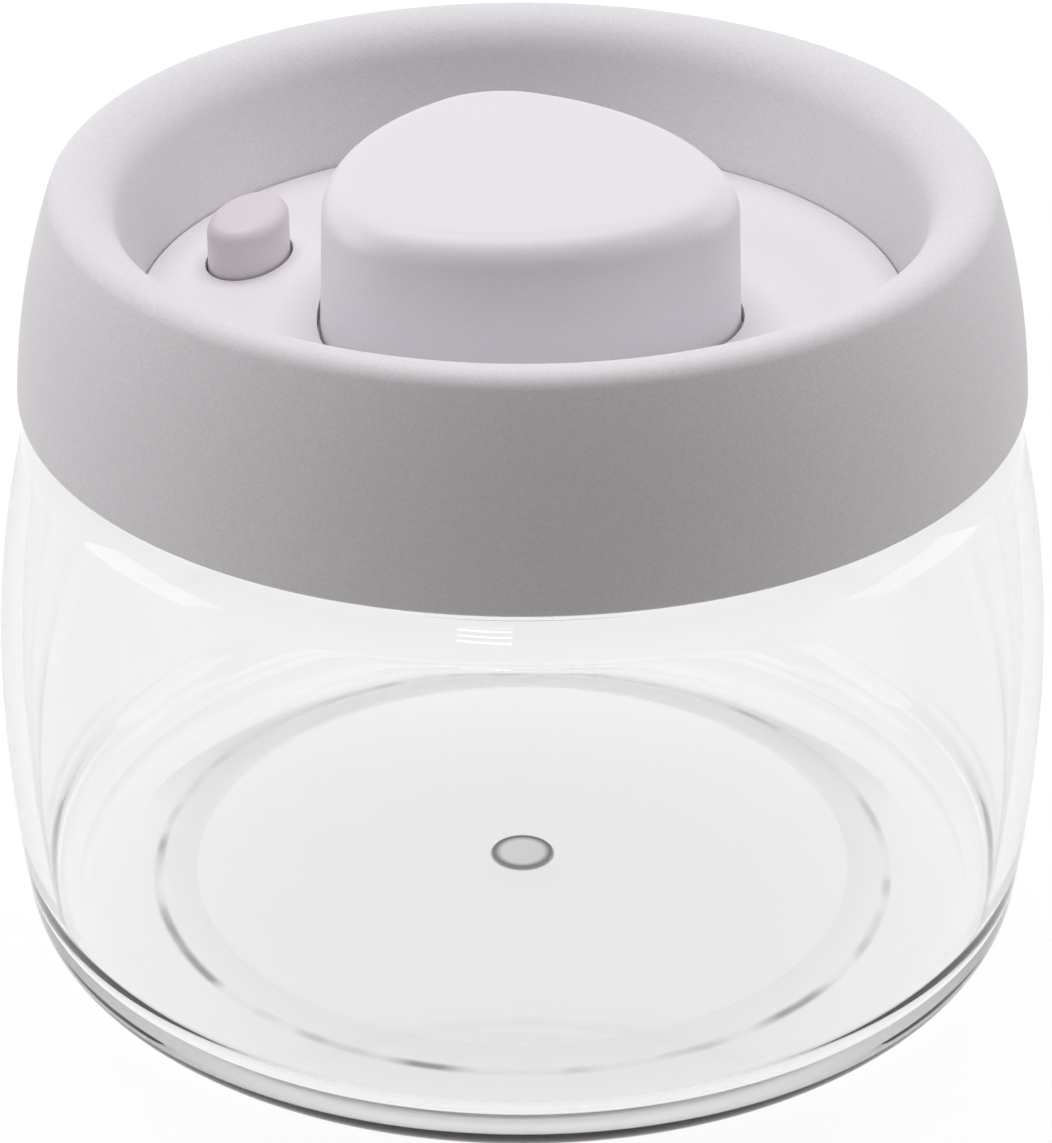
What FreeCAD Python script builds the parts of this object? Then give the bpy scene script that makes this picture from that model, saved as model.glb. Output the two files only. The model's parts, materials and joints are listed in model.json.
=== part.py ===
import FreeCAD, Part
import math
import os

# Vacuum seal canister: a clear round jar, closed by a lid with a hand pump and a release button.
# Millimetres, +Z up. The jar stands on z = 0 and its axis is the Z axis.
# The release button lies on the -X side, and one corner of the pump button points along +X.

# Pump button: a rounded triangle, measured where it passes through the deck
BUTTON_VERTEX_R = 25.1
BUTTON_CORNER_R = 12.8
BUTTON_SIDE_R = 34.1
BUTTON_PROUD = 6.1
BUTTON_EDGE_R = 3.7
BUTTON_DRAFT = 0.032
BUTTON_WALL = 1.8
BUTTON_ROOF = 2.4
BUTTON_GAP = 0.4
BUTTON_FLANGE = 1.0
BUTTON_FLANGE_T = 1.2
PUMP_STROKE = 10.0

# Release button: an oval cap on a stem, short across and long around the lid
RELEASE_HALF_W = 4.2
RELEASE_HALF_L = 6.8
RELEASE_H = 5.7
RELEASE_EDGE_R = 1.7
RELEASE_WALL = 1.1
RELEASE_ROOF = 1.6
RELEASE_GAP = 0.35
RELEASE_FLANGE = 0.8
RELEASE_FLANGE_T = 1.0
RELEASE_STROKE = 2.5
STEM_GAP = 0.15
STEM_TIP = 1.2
PORT_GAP = 1.1
RELEASE_SEAL_LAND = 1.1
RELEASE_SEAL_T = 1.8
RELEASE_SEAL_HUB_W = 1.0
RELEASE_SEAL_HUB_T = 1.6
RELEASE_SEAL_CLEAR = 0.6
CLIP_W = 1.3
CLIP_T = 0.5
CLIP_GROOVE = 0.4
CLIP_MOUTH = 1.8
RELEASE_WIRE_R = 0.25
RELEASE_TURNS = 8
RELEASE_COIL_IN = 0.6
RELEASE_COIL_OUT = 0.4
POST_CLEAR = 1.9

# Deck and dish
DECK_T = 1.6
DECK_FIT = 0.15
DECK_RIM_W = 1.3
DECK_RIM_H = 1.7
DECK_MARGIN = 5.8
DECK_RISE = 9.3
PEG_R = 1.5
PEG_FIT = 0.03
PEG_ANGLES = (0, 90, 270)
STOP_GAP = 0.3

# Collar
COLLAR_H = 24.9
COLLAR_WALL = 2.0
CREST_OUT = 7.1
EDGE_OUT = 6.6
SIDE_BOW_R = 84.0
RIM_OUTER_R = 2.2
RIM_INNER_R = 5.5
RIM_ROOF = 3.2
EDGE_R = 0.4
LEDGE_W = 3.0
LEDGE_T = 1.8
EAR_R = 3.6
EAR_IN = 5.1

# Jar
JAR_WALL = 2.4
LID_OVERHANG = 1.5
LID_GAP = 0.5
BELLY_OUT = 5.3
BELLY_Z = 30.0
HEEL_IN = 1.7
HEEL_Z = 5.0
FOOT_IN = 4.4
FOOT_W = 6.2
FOOT_RECESS = 1.3
RECESS_SLOPE = 9.0
RECESS_ROLL_R = 8.0
FLOOR_T = 2.5
FLOOR_CORNER_R = 6.0
GATE_R = 3.7
GATE_DEPTH = 0.5
SHOULDER_Z = 66.5
SHOULDER_EDGE_R = 0.6
SHOULDER_W = 1.9
NECK_H = 4.5
NECK_BLEND = 6.5
MOUTH_EDGE_R = 0.7

# Lid base: a pan inside the neck with a deeper well for the pump
GASKET_T = 1.6
GASKET_LEG = 1.4
GASKET_LEG_H = 4.0
GASKET_LIP = 0.7
GASKET_LIP_SPACE = 0.2
GASKET_LIPS = 2
GASKET_CLEAR = 0.3
BEAD_W = 0.9
BEAD_H = 1.0
FLANGE_T = 1.8
PAN_WALL = 2.0
PAN_DEPTH = 8.0
PAN_FLOOR_T = 2.0
WELL_CLEAR = 0.9
WELL_WALL = 1.8
WELL_FLOOR_T = 2.6
WELL_DEPTH_CLEAR = 3.2
BOSS_R = 3.0

# Pump: cylinder, piston and valves
BORE_R = 12.0
BORE_FIT = 0.05
CYLINDER_WALL = 1.6
CYLINDER_FLOOR_T = 1.6
CYLINDER_FLANGE_OUT = 4.0
CYLINDER_FLANGE_T = 2.0
CYLINDER_TOP_GAP = 1.4
CYLINDER_GASKET_W = 5.1
CYLINDER_GASKET_T = 0.8
PISTON_LAND_GAP = 0.25
PISTON_H = 5.0
PISTON_FLOOR_GAP = 1.6
PISTON_PLATE_T = 1.6
PISTON_RECESS = 2.2
PISTON_GROOVE_H = 2.6
PISTON_GROOVE_D = 1.9
ROD_R = 6.5
ROD_WALL = 1.5
ROD_FIT = 0.05
ROD_WINDOW_W = 4.0
ROD_WINDOW_H = 5.0
SOCKET_H = 5.0
PIN_R = 1.0
PIN_FIT = 0.03
VALVE_STEM_R = 1.2
VALVE_STEM_FIT = 0.05
VALVE_BULB_R = 1.7
VALVE_DISC_T = 0.7
INTAKE_DISC_R = 6.6
EXHAUST_DISC_R = 4.3
VENT_R = 0.8
VENT_COUNT = 6
INTAKE_VENT_RING = 4.2
EXHAUST_VENT_RING = 2.9
PUMP_WIRE_R = 0.55
PUMP_COIL_IN = 0.75
PUMP_COIL_OUT = 0.35
PUMP_TURNS = 7
SPRING_SEAT = 0.05

# Inlet filter
INLET_R = 7.6
FILTER_LAND = 1.6
FILTER_T = 0.4
FILTER_HOLE_R = 0.45
FILTER_PITCH = 1.9
CAP_RIB_W = 1.6
CAP_CLEAR = 0.4
CAP_BOSS_GAP = 0.75
CAP_FIT = 0.05
CAP_PLATE_T = 1.5
CAP_SPIGOT_W = 1.5
CAP_SLOT_W = 1.6
CAP_SLOTS = 6

# Screws
SCREW_R = 1.3
SCREW_FIT = 0.05
SCREW_HEAD_R = 2.2
SCREW_HEAD_H = 1.3
SCREW_EDGE = 0.4
SCREW_SLOT_W = 0.6
SCREW_SLOT_D = 0.7
LID_SCREW_ANGLES = (45, 135, 225, 315)
CYLINDER_SCREW_ANGLES = (0, 120, 240)
CYLINDER_SCREW_L = 6.0
CYLINDER_BOSS_R = 2.6
SCREW_TIP_GAP = 0.4

# Heights, from the shoulder of the jar upward and then down into the lid
MOUTH_Z = SHOULDER_Z + NECK_H
LID_EDGE_Z = SHOULDER_Z + LID_GAP
RIM_TOP_Z = LID_EDGE_Z + COLLAR_H
DECK_TOP_Z = LID_EDGE_Z + DECK_RISE
DECK_LOW_Z = DECK_TOP_Z - DECK_T
LEDGE_TOP_Z = DECK_LOW_Z - DECK_RIM_H
LEDGE_LOW_Z = LEDGE_TOP_Z - LEDGE_T
FLANGE_LOW_Z = MOUTH_Z + GASKET_T
FLANGE_TOP_Z = FLANGE_LOW_Z + FLANGE_T
PAN_FLOOR_Z = FLANGE_TOP_Z - PAN_DEPTH
PAN_LOW_Z = PAN_FLOOR_Z - PAN_FLOOR_T
BUTTON_TOP_Z = DECK_TOP_Z + BUTTON_PROUD + PUMP_STROKE
BUTTON_ROOF_Z = BUTTON_TOP_Z - BUTTON_ROOF
BUTTON_LOW_Z = DECK_LOW_Z - STOP_GAP - BUTTON_FLANGE_T
WELL_FLOOR_Z = BUTTON_LOW_Z - PUMP_STROKE - WELL_DEPTH_CLEAR
WELL_LOW_Z = WELL_FLOOR_Z - WELL_FLOOR_T
CYLINDER_FLOOR_Z = WELL_FLOOR_Z + CYLINDER_FLOOR_T
CYLINDER_FLANGE_Z = WELL_FLOOR_Z + CYLINDER_FLANGE_T
CYLINDER_TOP_Z = BUTTON_ROOF_Z - PUMP_STROKE - CYLINDER_TOP_GAP
PISTON_LOW_Z = CYLINDER_FLOOR_Z + PISTON_FLOOR_GAP + PUMP_STROKE
PISTON_TOP_Z = PISTON_LOW_Z + PISTON_H
PISTON_PLATE_Z = PISTON_LOW_Z + PISTON_RECESS + PISTON_PLATE_T
RELEASE_TOP_Z = DECK_TOP_Z + RELEASE_H
RELEASE_ROOF_Z = RELEASE_TOP_Z - RELEASE_ROOF
RELEASE_LOW_Z = DECK_LOW_Z - STOP_GAP - RELEASE_FLANGE_T
SEAL_HUB_Z = PAN_LOW_Z - RELEASE_SEAL_T - RELEASE_SEAL_HUB_T
CLIP_LOW_Z = SEAL_HUB_Z - CLIP_T
STEM_LOW_Z = CLIP_LOW_Z - STEM_TIP
SPRING_POST_Z = RELEASE_LOW_Z - RELEASE_STROKE - POST_CLEAR
CYLINDER_BOSS_Z = CYLINDER_FLANGE_Z - CYLINDER_SCREW_L - 2 * SCREW_TIP_GAP
CAP_RIB_LOW_Z = CYLINDER_BOSS_Z - CAP_CLEAR
CAP_LOW_Z = CAP_RIB_LOW_Z - CAP_PLATE_T
FLOOR_Z = FOOT_RECESS + FLOOR_T

# Radii, from the pump button outward
BUTTON_FLANGE_R = BUTTON_VERTEX_R + BUTTON_DRAFT * (DECK_TOP_Z - BUTTON_LOW_Z) + BUTTON_FLANGE
WELL_R = BUTTON_FLANGE_R + WELL_CLEAR
WELL_OUTER_R = WELL_R + WELL_WALL
RELEASE_COIL_R = RELEASE_HALF_W - RELEASE_WALL - RELEASE_COIL_OUT - RELEASE_WIRE_R
STEM_R = RELEASE_COIL_R - RELEASE_WIRE_R - RELEASE_COIL_IN
PORT_R = STEM_R + PORT_GAP
RELEASE_SEAL_R = PORT_R + RELEASE_SEAL_LAND
CLIP_R = STEM_R + CLIP_W
RELEASE_R = WELL_OUTER_R + RELEASE_SEAL_CLEAR + RELEASE_SEAL_R
DISH_R = RELEASE_R + RELEASE_HALF_W + DECK_MARGIN
DECK_R = DISH_R - DECK_FIT
CREST_R = DISH_R + CREST_OUT
LID_EDGE_R = CREST_R + EDGE_OUT
SHOULDER_R = LID_EDGE_R - LID_OVERHANG
BELLY_R = SHOULDER_R + BELLY_OUT
HEEL_R = BELLY_R - HEEL_IN
FOOT_R = HEEL_R - FOOT_IN
FOOT_INNER_R = FOOT_R - FOOT_W
NECK_R = SHOULDER_R - SHOULDER_W
MOUTH_R = NECK_R - JAR_WALL
GASKET_LEG_R = MOUTH_R - GASKET_CLEAR - GASKET_LIP
PAN_R = GASKET_LEG_R - GASKET_LEG
EAR_CENTRE_R = DISH_R - EAR_IN
CYLINDER_R = BORE_R + CYLINDER_WALL
PUMP_COIL_R = CYLINDER_R + PUMP_COIL_IN + PUMP_WIRE_R
CYLINDER_SCREW_R = PUMP_COIL_R + PUMP_WIRE_R + PUMP_COIL_OUT + SCREW_HEAD_R
CYLINDER_FLANGE_R = CYLINDER_SCREW_R + CYLINDER_FLANGE_OUT
CYLINDER_GASKET_R = INLET_R + CYLINDER_GASKET_W
SEAL_R = BORE_R - BORE_FIT
GROOVE_R = SEAL_R - PISTON_GROOVE_D
FILTER_R = INLET_R + FILTER_LAND
CAP_SPIGOT_R = CYLINDER_SCREW_R + CYLINDER_BOSS_R + CAP_BOSS_GAP + CAP_SPIGOT_W
CAP_RIB_R = CAP_SPIGOT_R + CAP_FIT + CAP_RIB_W

ORIGIN = FreeCAD.Vector(0, 0, 0)
UP = FreeCAD.Vector(0, 0, 1)
TOLERANCE = 1e-6


# Outlines in the XZ half plane, as (r, z) points
def at(point):
    return FreeCAD.Vector(point[0], 0, point[1])


def line(start, end):
    return Part.LineSegment(at(start), at(end)).toShape()


def arc(centre, start, end):
    """Arc of under half a circle about a centre."""
    to_start = at(start) - at(centre)
    to_mid = (to_start + at(end) - at(centre)).normalize() * to_start.Length
    return Part.Arc(at(start), at(centre) + to_mid, at(end)).toShape()


def turn(edges):
    """Solid of revolution about Z from the edges of a closed outline, in order."""
    return Part.Face(Part.Wire(edges)).revolve(ORIGIN, UP, 360)


def toward(start, end, distance):
    run = math.dist(start, end)
    return tuple(a + (b - a) * distance / run for a, b in zip(start, end))


def outline(*corners):
    """Edges of a closed outline through (r, z) corners. A third number rounds that corner."""
    bends = []
    for i, corner in enumerate(corners):
        here = corner[:2]
        radius = corner[2] if len(corner) > 2 else 0
        before = corners[i - 1][:2]
        after = corners[(i + 1) % len(corners)][:2]
        if not radius:
            bends.append((here, here, None))
            continue
        one = toward(here, before, 1)
        two = toward(here, after, 1)
        half = math.asin(math.dist(one, two) / 2)
        middle = ((one[0] + two[0]) / 2, (one[1] + two[1]) / 2)
        reach = radius / math.tan(half)
        centre = toward(here, middle, radius / math.sin(half))
        bends.append((toward(here, before, reach), toward(here, after, reach), centre))
    edges = []
    for i, (enter, leave, centre) in enumerate(bends):
        if centre:
            edges.append(arc(centre, enter, leave))
        following = bends[(i + 1) % len(bends)][0]
        if math.dist(leave, following) > TOLERANCE:
            edges.append(line(leave, following))
    return edges


def turned(*corners):
    return turn(outline(*corners))


# Solids
def rod(radius, low, high, x=0, y=0):
    return Part.makeCylinder(radius, high - low, FreeCAD.Vector(x, y, low))


def ring(inner, outer, low, high):
    return rod(outer, low, high).cut(rod(inner, low, high))


def around(shape, angles):
    """Copies of a shape turned about Z."""
    copies = []
    for angle in angles:
        copy = shape.copy()
        copy.rotate(ORIGIN, UP, angle)
        copies.append(copy)
    return copies


def evenly(count, first=0):
    return [first + 360 * i / count for i in range(count)]


def joined(shapes):
    return shapes[0].fuse(shapes[1:]).removeSplitter()


def polar(radius, degrees):
    return FreeCAD.Vector(math.cos(math.radians(degrees)), math.sin(math.radians(degrees)), 0) * radius


def triangle(inset, z):
    """Rounded triangle at a height, moved in by an inset: three corner arcs and three bowed sides."""
    corner_out = BUTTON_VERTEX_R - BUTTON_CORNER_R
    reach = BUTTON_SIDE_R - BUTTON_CORNER_R
    side_back = (math.sqrt(4 * reach ** 2 - 3 * corner_out ** 2) - corner_out) / 2
    lift = UP * z
    edges = []
    for vertex in evenly(3):
        corner = polar(corner_out, vertex)
        ends = []
        for side in (vertex - 60, vertex + 60):
            side_centre = polar(-side_back, side)
            outward = (corner - side_centre).normalize()
            ends.append(side_centre + outward * (BUTTON_SIDE_R - inset) + lift)
        tip = polar(BUTTON_VERTEX_R - inset, vertex) + lift
        edges.append(Part.Arc(ends[0], tip, ends[1]).toShape())
        middle = polar(BUTTON_SIDE_R - inset - side_back, vertex + 60) + lift
        mirror = polar(1, vertex + 60)
        along = ends[1] - lift
        far = mirror * (2 * along.dot(mirror)) - along + lift
        edges.append(Part.Arc(ends[1], middle, far).toShape())
    return Part.Wire(edges)


def triangle_prism(inset, low, high):
    return Part.Face(triangle(inset, low)).extrude(UP * (high - low))


def triangle_draft(inset, low, high):
    """Triangle block that narrows upward with the draft of the button."""
    sections = [triangle(inset + BUTTON_DRAFT * (z - DECK_TOP_Z), z) for z in (low, high)]
    return Part.makeLoft(sections, True, True)


def oval_prism(grow, low, high):
    """Block of the release button's oval, grown by a distance, at the button's place."""
    ellipse = Part.Ellipse(ORIGIN, RELEASE_HALF_L + grow, RELEASE_HALF_W + grow).toShape()
    ellipse.rotate(ORIGIN, UP, 90)
    ellipse.translate(FreeCAD.Vector(-RELEASE_R, 0, low))
    return Part.Face(Part.Wire([ellipse])).extrude(UP * (high - low))


def top_edges(shape, z):
    return [e for e in shape.Edges if e.BoundBox.ZMin > z - TOLERANCE * 100]


def biarc(start, start_dir, end, end_dir):
    """Two tangent arcs from one point and direction to another."""
    run = end - start
    both = start_dir + end_dir
    spread = 2 * (1 - start_dir.dot(end_dir))
    reach = (math.sqrt(run.dot(both) ** 2 + spread * run.dot(run)) - run.dot(both)) / spread
    first = start + start_dir * reach
    second = end - end_dir * reach
    middle = (first + second) / 2
    edges = []
    for a, control, b in ((start, first, middle), (middle, second, end)):
        chord = (a + b) / 2
        rise = control - chord
        half = a.distanceToPoint(b) / 2
        sag = half * math.tan(math.atan2(rise.Length, half) / 2)
        edges.append(Part.Arc(a, chord + rise.normalize() * sag, b).toShape())
    return edges


def coil(mean_r, wire_r, low, high, turns):
    """Compression spring between two heights, one tube along quarter-turn biarcs."""
    rise = (high - low - 2 * wire_r) / (2 * math.pi * turns)

    def place(angle):
        height = low + wire_r + rise * angle
        return FreeCAD.Vector(mean_r * math.cos(angle), mean_r * math.sin(angle), height)

    def heading(angle):
        return FreeCAD.Vector(-mean_r * math.sin(angle), mean_r * math.cos(angle), rise).normalize()

    edges = []
    for quarter in range(4 * turns):
        a, b = quarter * math.pi / 2, (quarter + 1) * math.pi / 2
        edges += biarc(place(a), heading(a), place(b), heading(b))
    section = Part.Wire([Part.Circle(place(0), heading(0), wire_r).toShape()])
    gap = place(0).distanceToPoint(place(2 * math.pi)) - 2 * wire_r
    print("spring of wire radius", wire_r, "has a least gap of", round(gap, 2), "between turns")
    return Part.Wire(edges).makePipeShell([section], True, False)


def screw(head_z, length):
    """Pan-head screw on the Z axis, its head standing on head_z."""
    top = head_z + SCREW_HEAD_H
    body = turned((0, top), (SCREW_HEAD_R, top, SCREW_EDGE), (SCREW_HEAD_R, head_z), (SCREW_R, head_z),
                  (SCREW_R, head_z - length + SCREW_R), (0, head_z - length))
    slot = Part.makeBox(2 * SCREW_R, SCREW_SLOT_W, SCREW_SLOT_D,
                        FreeCAD.Vector(-SCREW_R, -SCREW_SLOT_W / 2, top - SCREW_SLOT_D))
    return body.cut(around(slot, (0, 90)))


def umbrella(disc_r, seat, plate_t):
    """Umbrella valve whose disc lies on a plate with its top at seat, and whose bulb holds below."""
    low = seat - plate_t
    return turned((0, seat + VALVE_DISC_T), (disc_r - VALVE_DISC_T, seat + VALVE_DISC_T),
                  (disc_r, seat + VALVE_DISC_T / 2), (disc_r, seat), (VALVE_STEM_R, seat),
                  (VALVE_STEM_R, low), (VALVE_BULB_R, low), (VALVE_STEM_R, low - VALVE_BULB_R),
                  (0, low - VALVE_BULB_R))


def vents(ring_r, low, high):
    """Ring of small air holes round a valve's stem hole."""
    hole = rod(VENT_R, low, high, ring_r)
    return around(hole, evenly(VENT_COUNT)) + [rod(VALVE_STEM_R + VALVE_STEM_FIT, low, high)]


# Jar
def bow_radius(inset, height):
    """Radius of an arc that leaves the belly upright and moves in by an inset over a height."""
    return (inset ** 2 + height ** 2) / (2 * inset)


def make_jar():
    upper_r = bow_radius(BELLY_OUT, SHOULDER_Z - BELLY_Z)
    lower_r = bow_radius(HEEL_IN, BELLY_Z - HEEL_Z)
    upper = (BELLY_R - upper_r, BELLY_Z)
    lower = (BELLY_R - lower_r, BELLY_Z)

    def on_bow(centre, radius, z):
        return centre[0] + math.sqrt(radius ** 2 - (z - BELLY_Z) ** 2), z

    foot = (FOOT_R, 0)
    heel = (HEEL_R, HEEL_Z)
    belly = (BELLY_R, BELLY_Z)
    shoulder = on_bow(upper, upper_r, SHOULDER_Z - SHOULDER_EDGE_R)
    shoulder_in = (shoulder[0] - SHOULDER_EDGE_R, SHOULDER_Z)

    out = ((heel[0] - lower[0]) / lower_r, (heel[1] - lower[1]) / lower_r)
    drop = (foot[0] - heel[0], foot[1] - heel[1])
    heel_r = -(drop[0] ** 2 + drop[1] ** 2) / (2 * (drop[0] * out[0] + drop[1] * out[1]))
    heel_centre = (heel[0] - heel_r * out[0], heel[1] - heel_r * out[1])

    blend_z = SHOULDER_Z - NECK_BLEND
    inner_blend = on_bow(upper, upper_r - JAR_WALL, blend_z)
    inner_belly = (BELLY_R - JAR_WALL, BELLY_Z)
    corner_centre = on_bow(lower, lower_r - JAR_WALL - FLOOR_CORNER_R, FLOOR_Z + FLOOR_CORNER_R)
    corner_wall = toward(lower, corner_centre, lower_r - JAR_WALL)
    corner_floor = (corner_centre[0], FLOOR_Z)

    slope = (inner_blend[0] - upper[0]) / (inner_blend[1] - upper[1])
    third = NECK_BLEND / 3
    neck_foot = (MOUTH_R, SHOULDER_Z)
    blend = Part.BezierCurve()
    blend.setPoles([at(neck_foot), at((MOUTH_R, SHOULDER_Z - third)),
                    at((inner_blend[0] - third / slope, blend_z + third)), at(inner_blend)])

    neck = outline((shoulder_in[0], SHOULDER_Z), (NECK_R, SHOULDER_Z), (NECK_R, MOUTH_Z, MOUTH_EDGE_R),
                   (MOUTH_R, MOUTH_Z, MOUTH_EDGE_R), neck_foot)[:-1]
    gate_z = FOOT_RECESS + GATE_DEPTH
    edges = outline((0, gate_z), (GATE_R, gate_z), (GATE_R, FOOT_RECESS),
                    (FOOT_INNER_R - RECESS_SLOPE, FOOT_RECESS, RECESS_ROLL_R), (FOOT_INNER_R, 0, RECESS_ROLL_R),
                    foot)[:-1]
    edges += [arc(heel_centre, foot, heel), arc(lower, heel, belly), arc(upper, belly, shoulder),
              arc((shoulder_in[0], shoulder[1]), shoulder, shoulder_in)]
    edges += neck
    edges += [blend.toShape(), arc(upper, inner_blend, inner_belly), arc(lower, inner_belly, corner_wall),
              arc(corner_centre, corner_wall, corner_floor), line(corner_floor, (0, FLOOR_Z)),
              line((0, FLOOR_Z), (0, gate_z))]
    return turn(edges)


# Lid shell
def make_collar():
    rim_outer = (CREST_R, RIM_TOP_Z - RIM_OUTER_R)
    rim_inner = (CREST_R, RIM_TOP_Z - RIM_INNER_R)
    crest = (CREST_R, RIM_TOP_Z)
    edge = (LID_EDGE_R, LID_EDGE_Z + EDGE_R)
    edge_in = (LID_EDGE_R - EDGE_R, LID_EDGE_Z)
    dish = (DISH_R, DECK_TOP_Z)

    # Centre of the bowed side, which passes the lower edge and is tangent to the rim
    span = math.dist(edge, rim_outer)
    along = (SIDE_BOW_R ** 2 - (SIDE_BOW_R - RIM_OUTER_R) ** 2 + span ** 2) / (2 * span)
    aside = math.sqrt(SIDE_BOW_R ** 2 - along ** 2)
    unit = toward((0, 0), (rim_outer[0] - edge[0], rim_outer[1] - edge[1]), 1)
    side = (edge[0] + unit[0] * along - unit[1] * aside, edge[1] + unit[1] * along + unit[0] * aside)
    rim_start = toward(side, rim_outer, SIDE_BOW_R)

    # Dish wall, tangent to the inner roll of the rim
    rise = (rim_inner[0] - dish[0], rim_inner[1] - dish[1])
    reach = math.hypot(*rise)
    lean = math.atan2(rise[1], rise[0]) + math.asin(RIM_INNER_R / reach)
    wall_l = math.sqrt(reach ** 2 - RIM_INNER_R ** 2)
    roll_end = (dish[0] + wall_l * math.cos(lean), dish[1] + wall_l * math.sin(lean))

    # Hollow between the side and the dish wall
    roof_z = RIM_TOP_Z - RIM_ROOF
    side_in = SIDE_BOW_R - COLLAR_WALL
    roof_out = (side[0] + math.sqrt(side_in ** 2 - (roof_z - side[1]) ** 2), roof_z)
    skirt_in = (side[0] + math.sqrt(side_in ** 2 - (LID_EDGE_Z - side[1]) ** 2), LID_EDGE_Z)
    back = DISH_R + COLLAR_WALL
    roof_in = (back + (roof_z - DECK_TOP_Z) / math.tan(lean), roof_z)
    ledge_r = DISH_R - LEDGE_W
    rest = [roof_out, roof_in, (back, DECK_TOP_Z), (back, LEDGE_LOW_Z), (ledge_r, LEDGE_LOW_Z),
            (ledge_r, LEDGE_TOP_Z), (DISH_R, LEDGE_TOP_Z), dish]
    edges = [line(skirt_in, edge_in), arc((edge_in[0], edge[1]), edge_in, edge), arc(side, edge, rim_start),
             arc(rim_outer, rim_start, crest), arc(rim_inner, crest, roll_end), line(roll_end, dish)]
    edges += [line(a, b) for a, b in zip(rest[::-1], rest[-2::-1])]
    edges.append(arc(side, roof_out, skirt_in))
    shell = turn(edges)

    ears = around(rod(EAR_R, LEDGE_LOW_Z, LEDGE_TOP_Z, EAR_CENTRE_R), LID_SCREW_ANGLES)
    holes = around(rod(SCREW_R + SCREW_FIT, LEDGE_LOW_Z, LEDGE_TOP_Z, EAR_CENTRE_R), LID_SCREW_ANGLES)
    return joined([shell] + ears).cut(holes)


def make_deck():
    plate = turned((0, DECK_LOW_Z), (DECK_R - DECK_RIM_W, DECK_LOW_Z), (DECK_R - DECK_RIM_W, LEDGE_TOP_Z),
                   (DECK_R, LEDGE_TOP_Z), (DECK_R, DECK_TOP_Z, DECK_FIT), (0, DECK_TOP_Z))
    pegs = around(rod(PEG_R, PAN_FLOOR_Z + SCREW_TIP_GAP, DECK_LOW_Z, EAR_CENTRE_R), PEG_ANGLES)
    apertures = [triangle_prism(-BUTTON_GAP, DECK_LOW_Z, DECK_TOP_Z),
                 oval_prism(RELEASE_GAP, DECK_LOW_Z, DECK_TOP_Z)]
    return joined([plate.cut(apertures)] + pegs)


def make_base():
    bead_top = MOUTH_Z - GASKET_LEG_H
    floor_top = PAN_FLOOR_Z
    shell = turned((INLET_R, WELL_LOW_Z), (WELL_OUTER_R, WELL_LOW_Z, WELL_WALL / 2),
                   (WELL_OUTER_R, PAN_LOW_Z), (PAN_R, PAN_LOW_Z, PAN_WALL / 2), (PAN_R, bead_top - BEAD_H),
                   (PAN_R + BEAD_W, bead_top - BEAD_H / 2), (PAN_R + BEAD_W, bead_top), (PAN_R, bead_top),
                   (PAN_R, FLANGE_LOW_Z), (NECK_R, FLANGE_LOW_Z), (NECK_R, FLANGE_TOP_Z, EDGE_R),
                   (PAN_R - PAN_WALL, FLANGE_TOP_Z), (PAN_R - PAN_WALL, floor_top), (WELL_R, floor_top),
                   (WELL_R, WELL_FLOOR_Z), (CYLINDER_GASKET_R, WELL_FLOOR_Z),
                   (CYLINDER_GASKET_R, WELL_FLOOR_Z - CYLINDER_GASKET_T),
                   (INLET_R, WELL_FLOOR_Z - CYLINDER_GASKET_T))
    rib = ring(CAP_RIB_R - CAP_RIB_W, CAP_RIB_R, CAP_RIB_LOW_Z, WELL_LOW_Z)
    screw_bosses = around(rod(BOSS_R, floor_top, LEDGE_LOW_Z, EAR_CENTRE_R), LID_SCREW_ANGLES)
    peg_bosses = around(rod(BOSS_R, floor_top, LEDGE_LOW_Z, EAR_CENTRE_R), PEG_ANGLES)
    pump_bosses = around(rod(CYLINDER_BOSS_R, CYLINDER_BOSS_Z, WELL_LOW_Z, CYLINDER_SCREW_R),
                         CYLINDER_SCREW_ANGLES)
    post = rod(RELEASE_COIL_R + 2 * RELEASE_WIRE_R, floor_top, SPRING_POST_Z, -RELEASE_R)
    body = joined([shell, rib, post] + screw_bosses + peg_bosses + pump_bosses)
    cuts = around(rod(SCREW_R + SCREW_FIT, floor_top, LEDGE_LOW_Z, EAR_CENTRE_R), LID_SCREW_ANGLES)
    cuts += around(rod(PEG_R + PEG_FIT, floor_top, LEDGE_LOW_Z, EAR_CENTRE_R), PEG_ANGLES)
    cuts += around(rod(SCREW_R + SCREW_FIT, CYLINDER_BOSS_Z + SCREW_TIP_GAP, WELL_FLOOR_Z, CYLINDER_SCREW_R),
                   CYLINDER_SCREW_ANGLES)
    cuts.append(rod(STEM_R + STEM_GAP, floor_top, SPRING_POST_Z, -RELEASE_R))
    cuts.append(rod(PORT_R, PAN_LOW_Z, floor_top, -RELEASE_R))
    return body.cut(cuts)


def make_gasket():
    """Flat ring on the mouth of the jar, with a leg down into the neck that carries sealing lips."""
    low = MOUTH_Z - GASKET_LEG_H
    lip_r = GASKET_LEG_R + GASKET_LIP
    pitch = GASKET_LEG_H / (GASKET_LIPS + 1)
    corners = [(PAN_R, low), (GASKET_LEG_R, low)]
    half = (pitch - GASKET_LIP_SPACE) / 2
    for i in range(GASKET_LIPS):
        z = low + pitch * (i + 1)
        corners += [(GASKET_LEG_R, z - half), (lip_r, z), (GASKET_LEG_R, z + half)]
    corners += [(GASKET_LEG_R, MOUTH_Z), (NECK_R, MOUTH_Z), (NECK_R, FLANGE_LOW_Z), (PAN_R, FLANGE_LOW_Z)]
    return turned(*corners)


def make_lid_screws():
    one = screw(LEDGE_TOP_Z, LEDGE_TOP_Z - PAN_FLOOR_Z - SCREW_TIP_GAP)
    one.translate(FreeCAD.Vector(EAR_CENTRE_R, 0, 0))
    return Part.makeCompound(around(one, LID_SCREW_ANGLES))


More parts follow.
